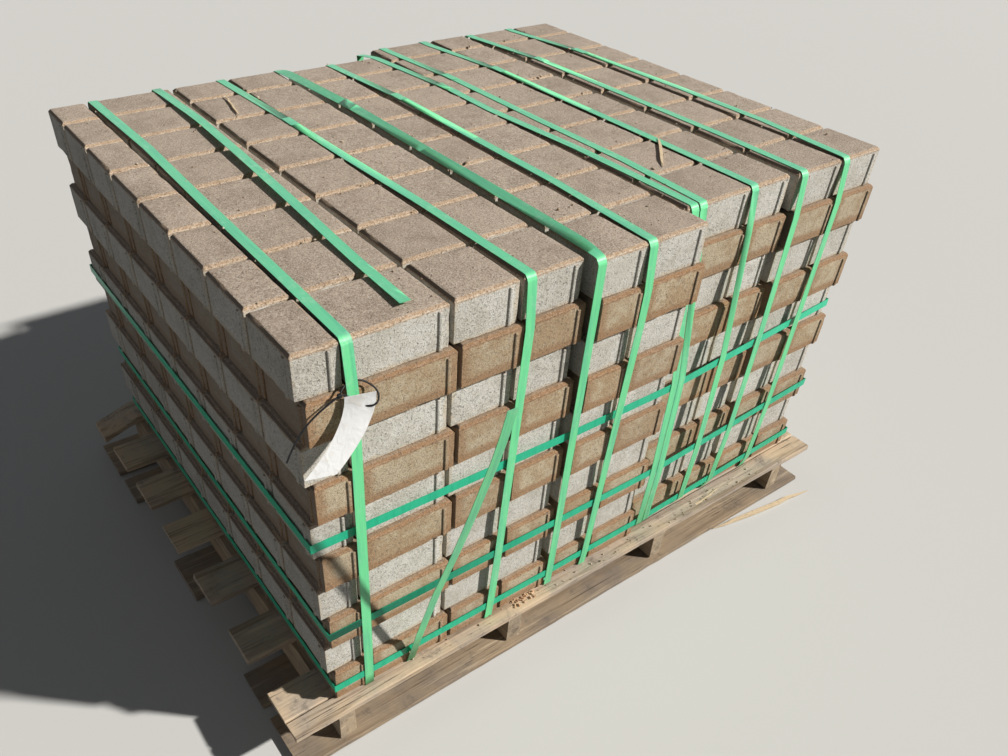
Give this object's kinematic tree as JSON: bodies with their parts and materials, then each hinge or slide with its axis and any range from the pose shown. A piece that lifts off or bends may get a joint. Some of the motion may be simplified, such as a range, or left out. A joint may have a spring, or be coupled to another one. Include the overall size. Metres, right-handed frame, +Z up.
{
  "type": "pallet of pavers",
  "caption": "Strapped cube of chamfered concrete pavers in grey and brown layers on a weathered wooden pallet, one strap cut and hanging loose, with a paper tag.",
  "frame": {"origin": "on the ground under the centre of the pallet, on the underside of the middle bottom board", "axes": "+X along the pallet's long side to the right, seen from the side with the loose strap tail; +Y away from that side; +Z up"},
  "size_m": [1.56, 1.361, 0.9413],
  "materials": {
    "grey_concrete": "rough, sandy, with tan speckle",
    "brown_concrete": "rough, mottled brown and greenish grey",
    "level_strap": "smooth emerald strap",
    "upright_strap": "smooth mint green strap, finely embossed",
    "tag_paper": "white, matt, slightly creased",
    "tie_plastic": "black, satin",
    "pallet_wood": "rough sawn, weathered grey and tan"
  },
  "bodies": {
    "root": {"layer_01": "brown_concrete", "layer_02": "grey_concrete", "layer_03": "brown_concrete", "layer_04": "grey_concrete", "layer_05": "brown_concrete", "layer_06": "grey_concrete", "layer_07": "brown_concrete", "layer_08": "grey_concrete", "layer_09": "brown_concrete", "layer_10": "grey_concrete", "level_strap_low": "level_strap", "level_strap_middle": "level_strap", "level_strap_high": "level_strap", "strap_1": "upright_strap", "strap_2_cut": "upright_strap", "strap_3": "upright_strap", "strap_4": "upright_strap", "strap_5": "upright_strap", "strap_6": "upright_strap", "strap_7": "upright_strap", "strap_8": "upright_strap", "strap_9": "upright_strap", "strap_10": "upright_strap", "tag": "tag_paper", "cable_tie": "tie_plastic", "deck_board_1": "pallet_wood", "deck_board_2": "pallet_wood", "deck_board_3": "pallet_wood", "deck_board_4": "pallet_wood", "deck_board_5": "pallet_wood", "deck_board_6": "pallet_wood", "deck_board_7": "pallet_wood", "stringer_1": "pallet_wood", "stringer_2": "pallet_wood", "stringer_3": "pallet_wood", "stringer_4": "pallet_wood", "bottom_board_1": "pallet_wood", "bottom_board_2": "pallet_wood", "bottom_board_3": "pallet_wood", "bottom_board_4": "pallet_wood", "bottom_board_5": "pallet_wood"}
  },
  "joints": []
}
